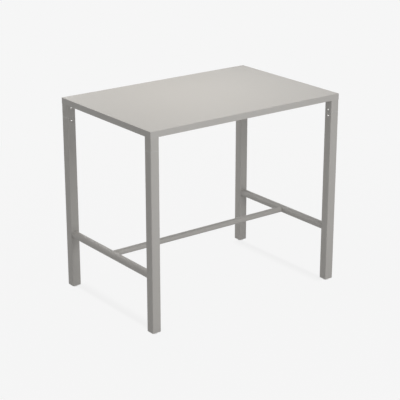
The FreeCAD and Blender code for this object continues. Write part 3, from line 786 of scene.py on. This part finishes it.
for seed, corner in enumerate(CORNERS, start=STEM_SEED):
    low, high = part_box("glide_stem_" + corner)
    foot = ((low.x + high.x) / 2, (low.y + high.y) / 2, 0)
    stem = grow("threaded_stem_" + corner, stem_tree, [[(foot, UP)]], "stem_zinc",
                body="stem_" + corner, Seed=seed)
    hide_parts("glide_stem_" + corner)

# %% [markdown]
# ## Weld beads
#
# The frame is welded from tube before it is coated, and the coat follows every bead. A bead is a
# row of overlapping crescents, each one a puddle that froze behind the torch. Here a round profile
# runs along the seam, half sunk into both parts. A ripple pushes its skin in and out, and bows
# forward in the middle of the bead. Slow noise keeps the width from looking ruled.

# %% Group: weld bead
BEAD_SIDES = 10
STEPS_PER_RIPPLE = 5
SWELL_SIZE = 9 * MM      # features of the slow noise
BEAD_END = 0.45          # size of a bead at its very ends
BEAD_GROWTH = 0.5        # how much of its size it gains in each radius from there


def make_bead_group():
    """Group that sweeps a rippled bead along a curve."""
    group, given, result = new_group(
        "weld bead", "GeometryNodeTree", {"Curve": GEOMETRY, "Outward": VECTOR, "Seed": INTEGER},
        {"Radius": 1.8 * MM, "Ripple Pitch": 1.5 * MM, "Ripple Depth": 0.16, "Bow": 0.6,
         "Unevenness": 0.25},
        {"Mesh": GEOMETRY})
    size = given.outputs
    # The path, and how thick the bead is along it.
    step = over(group, size["Ripple Pitch"], STEPS_PER_RIPPLE)
    path = add(group, "GeometryNodeResampleCurve",
               {"Curve": size["Curve"], "Length": step}, mode="LENGTH")
    facing = add(group, "GeometryNodeSetCurveNormal",
                 {"Curve": path.outputs[0], "Normal": size["Outward"]}, mode="FREE")
    along = add(group, "GeometryNodeSplineParameter").outputs["Length"]
    total = add(group, "GeometryNodeSplineLength").outputs["Length"]
    to_end = math_node(group, "MINIMUM", along, minus(group, total, along))
    radii = over(group, to_end, size["Radius"])
    blunt = times_plus(group, radii, BEAD_GROWTH, BEAD_END, clamp=True)
    position = add(group, "GeometryNodeInputPosition").outputs[0]
    noise = add(group, "ShaderNodeTexNoise", {
        "Vector": position, "W": size["Seed"], "Scale": 1 / SWELL_SIZE, "Detail": 1.0},
        noise_dimensions="4D")
    swell = times_plus(group, minus(group, noise.outputs["Fac"], 0.5), size["Unevenness"], 1)
    radius = times(group, times(group, swell, blunt), size["Radius"])
    # The sweep. Its skin remembers how far along and where on the profile it is.
    kept = add(group, "GeometryNodeCaptureAttribute", {"Geometry": facing.outputs[0]})
    kept.capture_items.new("FLOAT", "Along")
    ring = add(group, "GeometryNodeCurvePrimitiveCircle", {"Resolution": BEAD_SIDES, "Radius": 1.0})
    kept_ring = add(group, "GeometryNodeCaptureAttribute", {"Geometry": ring.outputs[0]})
    kept_ring.capture_items.new("VECTOR", "Place")
    fill(group, kept, {"Along": along})
    fill(group, kept_ring, {"Place": position})
    swept = add(group, "GeometryNodeCurveToMesh", {
        "Curve": kept.outputs[0], "Profile Curve": kept_ring.outputs[0], "Scale": radius,
        "Fill Caps": True})
    # The ripples.
    across = add(group, "ShaderNodeSeparateXYZ", {0: kept_ring.outputs["Place"]}).outputs["Y"]
    bowed = times(group, square(group, across), size["Bow"])
    ripples = over(group, kept.outputs["Along"], size["Ripple Pitch"])
    phase = times(group, plus(group, ripples, bowed), math.pi)
    wave = math_node(group, "ABSOLUTE", math_node(group, "SINE", phase))
    push = times(group, minus(group, wave, 1), times(group, size["Ripple Depth"], size["Radius"]))
    offset = add_scaled(group, add(group, "GeometryNodeInputNormal").outputs[0], push)
    rippled = add(group, "GeometryNodeSetPosition",
                  {"Geometry": swept.outputs[0], "Offset": offset})
    return close_group(group, result, {0: rippled.outputs[0]})


weld_bead = make_bead_group()


# %% Tree: continuous welds
def add_path(tree, given):
    """The carrier's chains as curves."""
    return add(tree, "GeometryNodeMeshToCurve", {"Mesh": given.outputs["Geometry"]}).outputs[0]


def add_bead(tree, given, curve, outward):
    """Bead along a curve, with the radius and the seed of the tree."""
    return add(tree, "GeometryNodeGroup", {
        "Curve": curve, "Outward": outward, "Radius": given.outputs["Radius"],
        "Seed": given.outputs["Seed"]}, node_tree=weld_bead).outputs[0]


def make_weld_tree():
    """Tree that lays a bead along every chain of points."""
    tree, given, result = new_tree("continuous welds", {"Radius": 1.8 * MM})
    bead = add_bead(tree, given, add_path(tree, given), add_outward(tree))
    return close_tree(tree, given, result, bead)


weld_tree = make_weld_tree()

# %% [markdown]
# ## Where the beads run
#
# Three seams carry the table. Each side stretcher is welded all round where it meets a leg. Each
# corner stub is welded under the rails on its two inner faces. Each short rail is welded to the
# long one in the inner corner of the frame. The stiffeners get a short bead at each end. The outer
# seams were ground flush, so nothing shows there.

# %% Welds of the stretchers
BEAD_PROUD = 0.3 * MM    # how far a bead's middle stands out of the corner it fills
RING_POINTS = 48
RING_OVERLAP = 3         # a ring starts at the bottom of the tube and runs past its own start
DIAGONAL = math.sqrt(0.5)

ring_reach = tube_radius + BEAD_PROUD
rings = []
for side_x, side_y in CORNERS.values():
    centre = Vector((side_x * (stub_low.x + stub_high.x) / 2, side_y * (tube_high.y - BEAD_PROUD),
                     (tube_low.z + tube_high.z) / 2))
    ring = []
    for number in range(RING_POINTS + RING_OVERLAP):
        turn = 2 * math.pi * number / RING_POINTS - math.pi / 2
        spoke = Vector((math.cos(turn), 0, math.sin(turn)))
        ring.append((centre + ring_reach * spoke, (spoke - Vector((0, side_y, 0))) * DIAGONAL))
    rings.append(ring)
grow("stretcher_welds", weld_tree, rings, "powder_coat", Radius=1.7 * MM, Seed=51)

# %% Welds of the frame
LEG_CORNER = 5 * MM      # outer radius of a leg's rounded corners
STUB_MARGIN = 3 * MM     # a bead under a stub stops this far short of the next corner
BEND_STEPS = 6
RAIL_MARGIN_LOW = 3 * MM     # a bead between rails stops this far from their lower faces
RAIL_MARGIN_HIGH = 1 * MM    # and this far from their upper ones
STIFFENER_BEAD = 16 * MM     # half the length of the bead at a stiffener's end
STIFFENERS = ("left", "middle", "right")


def stub_bead(corner, side_x, side_y):
    """Bead round the inner corner of a stub, just under the rails."""
    low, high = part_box("corner_stub_" + corner)
    middle = (low + high) / 2
    inner = leg_width / 2 + BEAD_PROUD
    outer = leg_width / 2 - LEG_CORNER - STUB_MARGIN
    inner_x, inner_y = (middle.x - side_x * inner, middle.y - side_y * inner)
    level = frame_base - BEAD_PROUD
    bend = LEG_CORNER + BEAD_PROUD
    bead = [((inner_x, middle.y + side_y * outer, level), (-side_x, 0, -1))]
    for number in range(BEND_STEPS + 1):
        turn = math.radians(90) * number / BEND_STEPS
        place = (inner_x + side_x * bend * (1 - math.cos(turn)),
                 inner_y + side_y * bend * (1 - math.sin(turn)), level)
        bead.append((place, (-side_x * math.cos(turn), -side_y * math.sin(turn), -1)))
    bead.append(((middle.x + side_x * outer, inner_y, level), (0, -side_y, -1)))
    return bead


def rail_bead(side_x, side_y):
    """Upright bead where a short rail meets a long one."""
    low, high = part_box("frame_rail_right" if side_x > 0 else "frame_rail_left")
    seam_x = (low.x if side_x > 0 else high.x) - side_x * BEAD_PROUD
    seam_y = side_y * (high.y - BEAD_PROUD)
    return [((seam_x, seam_y, level), (-side_x, -side_y, 0))
            for level in (low.z + RAIL_MARGIN_LOW, high.z - RAIL_MARGIN_HIGH)]


beads = []
for corner, (side_x, side_y) in CORNERS.items():
    beads += [stub_bead(corner, side_x, side_y), rail_bead(side_x, side_y)]
for name in STIFFENERS:
    low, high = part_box("stiffener_" + name)
    middle = (low + high) / 2
    for side_y in (-1, 1):
        place_y, level = (side_y * (high.y - BEAD_PROUD), low.z - BEAD_PROUD)
        beads.append([((middle.x + step, place_y, level), (0, -side_y, -1))
                      for step in (-STIFFENER_BEAD, STIFFENER_BEAD)])
grow("frame_welds", weld_tree, beads, "powder_coat", Radius=2.0 * MM, Seed=52)

# %% [markdown]
# ## Stitch welds and spot welds
#
# The thin sheet would warp under long beads. So the skirt is only stitched to the rails, with short
# beads a hand's width apart, and the three stiffeners are spot welded: two electrodes squeeze the
# sheets and leave a shallow round print. Both follow a line at a fixed pitch. The two trees share
# that step, and differ in what they place.

# %% Trees: stitches and spots along a line
SPOT_SIDES = 16
PRINT_SINK = 0.1 * MM    # the print's flat lower side lies this deep in the sheet
PRINT_PROFILE = ((0.97, 0.6), (0.88, 1), (0.78, 0.8), (0.68, 0.25), (0, 0.1))  # of radius, of lip


def add_line_points(tree, given):
    """Points at the pitch along every chain."""
    return add(tree, "GeometryNodeResampleCurve",
               {"Curve": add_path(tree, given), "Length": given.outputs["Pitch"]},
               mode="LENGTH").outputs[0]


def make_stitch_tree():
    """Tree that lays short beads along every chain, at a pitch."""
    tree, given, result = new_tree("stitch welds", {
        "Pitch": 0.15, "Stitch": 25 * MM, "Radius": 1.4 * MM})
    reach = half(tree, given.outputs["Stitch"])
    start, end = [add(tree, "ShaderNodeCombineXYZ", {"X": side}).outputs[0]
                  for side in (times(tree, reach, -1), reach)]
    line = add(tree, "GeometryNodeCurvePrimitiveLine", {"Start": start, "End": end})
    bead = add_bead(tree, given, line.outputs[0], UP)
    tangent = add(tree, "GeometryNodeInputTangent").outputs[0]
    run = add(tree, "FunctionNodeAlignRotationToVector", {"Vector": tangent}, axis="X")
    aimed = add(tree, "FunctionNodeAlignRotationToVector",
                {"Rotation": run.outputs[0], "Vector": add_outward(tree)}, axis="Z", pivot_axis="X")
    placed = add(tree, "GeometryNodeInstanceOnPoints", {
        "Points": add_line_points(tree, given), "Instance": bead, "Rotation": aimed.outputs[0]})
    return close_tree(tree, given, result, placed.outputs[0])


def make_spot_tree():
    """Tree that puts the print of a welding electrode at a pitch along every chain."""
    tree, given, result = new_tree("spot welds", {
        "Pitch": 60 * MM, "Width": 7 * MM, "Lip": 0.25 * MM})
    radius, lip = half(tree, given.outputs["Width"]), given.outputs["Lip"]
    rows = [(0, -PRINT_SINK, 0), (radius, -PRINT_SINK, 0)]
    rows += [(times(tree, radius, out), times(tree, lip, up), 0) for out, up in PRINT_PROFILE]
    print_mark = add_turned(tree, rows, SPOT_SIDES)
    placed = add_on_points(tree, given, add_line_points(tree, given), print_mark)
    return close_tree(tree, given, result, placed)


# %% Lay the stitches
SEAM_MARGIN = 0.1        # from a leg to a long side's first stitch. A short side has half of it
STITCH_INSET = 3.2 * MM  # from the skirt's face to the groove beside the rail's rounded corner
STITCH_RISE = 1.2 * MM   # from the skirt's lower edge up to a stitch
DOWN = (0, 0, -1)

inset_x, inset_y = (tray_high.x - STITCH_INSET, tray_high.y - STITCH_INSET)
run_x = tray_high.x - leg_width - SEAM_MARGIN
run_y = tray_high.y - leg_width - SEAM_MARGIN / 2
level = frame_base + STITCH_RISE
stitches = []
for side in (-1, 1):
    stitches.append([((step * run_x, side * inset_y, level), DOWN) for step in (-1, 1)])
    stitches.append([((side * inset_x, step * run_y, level), DOWN) for step in (-1, 1)])
grow("skirt_stitch_welds", make_stitch_tree(), stitches, "powder_coat", Seed=53)

# %% Print the spots
FLANGE_WIDTH = 15 * MM   # of the flanges along both sides of a stiffener
FLANGE_THICKNESS = 1.5 * MM
SPOT_MARGIN = 22 * MM    # from a stiffener's end to its first spot

spots = []
for name in STIFFENERS:
    low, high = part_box("stiffener_" + name)
    reach, level = (high.y - SPOT_MARGIN, high.z - FLANGE_THICKNESS)
    for line_x in (low.x + FLANGE_WIDTH / 2, high.x - FLANGE_WIDTH / 2):
        spots.append([((line_x, step * reach, level), DOWN) for step in (-1, 1)])
grow("stiffener_spot_welds", make_spot_tree(), spots, "powder_coat", Seed=54)

# %% [markdown]
# ## Floor, backdrop and light
#
# The floor is a plain pale studio floor. Seen by the camera it is one even tone, with a faint
# shadow of the table and a painted shadow line in a strip under each short side. To every other ray
# it is an ordinary matt floor, which throws light back up under the table as a real one does. Its
# lower face is clear, so that the table can be looked at from below. The world is the pale
# backdrop, and also the weak light from all round.

# %% Helpers for the backdrop
BACKDROP = 0.922


def seen_directly(tree):
    """1 for rays that show the backdrop itself: camera rays, mirror rays and rays through glass."""
    path = add(tree, "ShaderNodeLightPath").outputs
    direct = math_node(tree, "MAXIMUM", path["Is Camera Ray"], path["Is Glossy Ray"])
    return math_node(tree, "MAXIMUM", direct, path["Is Transmission Ray"])


def opaque(grey):
    """A grey as a colour."""
    return (grey,) * 3 + (1,)


# %% Floor
FLOOR_RADIUS = 9.0
FLOOR_SEGMENTS = 64
FLOOR_LEVEL = -0.3 * MM  # just clear of the pads, so that no two faces share a plane
FLOOR_ALBEDO = 0.60
SHADOW_SHARE = 0.015     # of the real shading that the camera sees on the open floor
SHADOW_INNER = 1.0       # this share fades out between two distances from the table's middle
SHADOW_OUTER = 3.0
PAINTED_SHADOW_SHARE = 0.08        # the same, in a strip under each short side of the table, where it paints a shadow line
PAINTED_SHADOW_X = 0.557          # the painted shadow strip is strongest here
PAINTED_SHADOW_REACH = 0.36       # how far it runs to the front and to the back
PAINTED_SHADOW_INNER = 0.07       # it fades out slowly inwards and quickly outwards and at its ends
PAINTED_SHADOW_OUTER = 0.03
PAINTED_SHADOW_FADES = (          # axis, where the strip ends, where it is at its full strength
    ("X", PAINTED_SHADOW_X - PAINTED_SHADOW_INNER, PAINTED_SHADOW_X),
    ("X", PAINTED_SHADOW_X + PAINTED_SHADOW_OUTER, PAINTED_SHADOW_X),
    ("Y", PAINTED_SHADOW_REACH + PAINTED_SHADOW_OUTER, PAINTED_SHADOW_REACH),
)


def make_floor_material():
    """Matt floor that looks like the backdrop, apart from a share of its shadow and a painted
    shadow strip under each short side.
    """
    material = bpy.data.materials.new("floor")
    material.use_nodes = True
    tree = material.node_tree
    tree.nodes.clear()
    place = add(tree, "ShaderNodeTexCoord").outputs["Object"]
    distance = add(tree, "ShaderNodeVectorMath", {0: place}, operation="LENGTH").outputs["Value"]
    open_share = add(tree, "ShaderNodeMapRange", {
        "Value": distance, "From Min": SHADOW_INNER, "From Max": SHADOW_OUTER,
        "To Min": SHADOW_SHARE, "To Max": 0.0}).outputs[0]
    spot = add(tree, "ShaderNodeSeparateXYZ", {0: place})
    # A strip under each short side shows more of the darker matt floor, which paints a shadow line
    # there.
    painted_shadow = PAINTED_SHADOW_SHARE
    for axis, start, end in PAINTED_SHADOW_FADES:
        away = math_node(tree, "ABSOLUTE", spot.outputs[axis])
        fade = add(tree, "ShaderNodeMapRange", {
            "Value": away, "From Min": start, "From Max": end, "To Min": 0.0, "To Max": 1.0},
            interpolation_type="SMOOTHSTEP")
        painted_shadow = times(tree, painted_shadow, fade.outputs[0])
    shown = plus(tree, open_share, painted_shadow)
    even = times(tree, seen_directly(tree), minus(tree, 1, shown))
    matt = add(tree, "ShaderNodeBsdfDiffuse", {"Color": opaque(FLOOR_ALBEDO)})
    glow = add(tree, "ShaderNodeEmission", {"Color": opaque(BACKDROP), "Strength": 1.0})
    mixed = add(tree, "ShaderNodeMixShader", {0: even, 1: matt.outputs[0], 2: glow.outputs[0]})
    from_below = add(tree, "ShaderNodeNewGeometry").outputs["Backfacing"]
    clear = add(tree, "ShaderNodeBsdfTransparent")
    surface = add(tree, "ShaderNodeMixShader",
                  {0: from_below, 1: mixed.outputs[0], 2: clear.outputs[0]})
    output = add(tree, "ShaderNodeOutputMaterial", {"Surface": surface.outputs[0]})
    output.is_active_output = True
    return material


floor_mesh = bpy.data.meshes.new("floor")
disc = bmesh.new()
bmesh.ops.create_circle(disc, cap_ends=True, segments=FLOOR_SEGMENTS, radius=FLOOR_RADIUS)
bmesh.ops.translate(disc, verts=disc.verts, vec=(0, 0, FLOOR_LEVEL))
disc.to_mesh(floor_mesh)
disc.free()
floor_mesh.materials.append(make_floor_material())
floor = bpy.data.objects.new("floor", floor_mesh)
scene.collection.objects.link(floor)
floor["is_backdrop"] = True
print("floor of %.0f m radius" % FLOOR_RADIUS)

# %% World
AMBIENT = 0.391

world = bpy.data.worlds.new("studio")
scene.world = world
world.use_nodes = True
sky = world.node_tree
sky.nodes.clear()
weak = add(sky, "ShaderNodeBackground", {"Color": opaque(1), "Strength": AMBIENT})
backdrop = add(sky, "ShaderNodeBackground", {"Color": opaque(BACKDROP), "Strength": 1.0})
both = add(sky, "ShaderNodeMixShader",
           {0: seen_directly(sky), 1: weak.outputs[0], 2: backdrop.outputs[0]})
add(sky, "ShaderNodeOutputWorld", {"Surface": both.outputs[0]})
print("world of", len(sky.nodes), "nodes")

# %% Lamps
# Name, place, size, power in watts and colour. Each lamp is a square softbox aimed at the table.
# The two high ones are a little warmer, which gives the top its soft warm pool.
WHITE = (1.0, 1.0, 1.0)
LAMPS = (
    ("high front softbox", (0.0, -3.0, 2.6), 1.5, 29.0, WHITE),
    ("low front softbox", (0.0, -3.0, 0.5), 1.0, 13.5, WHITE),
    ("back softbox", (0.0, 3.0, 1.5), 1.5, 32.0, WHITE),
    ("back right softbox", (2.7, 2.5, 2.0), 1.5, 4.9, WHITE),
    ("high left softbox", (-1.2, 0.3, 4.0), 1.0, 16.5, (1.0, 0.97, 0.92)),
    ("top light", (0.0, 0.2, 2.0), 0.8, 4.5, (1.0, 0.96, 0.90)),
)
LAMP_AIM = Vector((0, 0, 0.9))

for name, place, size, power, color in LAMPS:
    lamp = bpy.data.lights.new(name, "AREA")
    lamp.size = size
    lamp.energy = power
    lamp.color = color
    holder = bpy.data.objects.new(name, lamp)
    holder.location = place
    holder.visible_camera = False
    holder.rotation_euler = (Vector(place) - LAMP_AIM).to_track_quat("Z", "Y").to_euler()
    scene.collection.objects.link(holder)
print(len(LAMPS), "lamps")

# %% Measure the table
low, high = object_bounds()
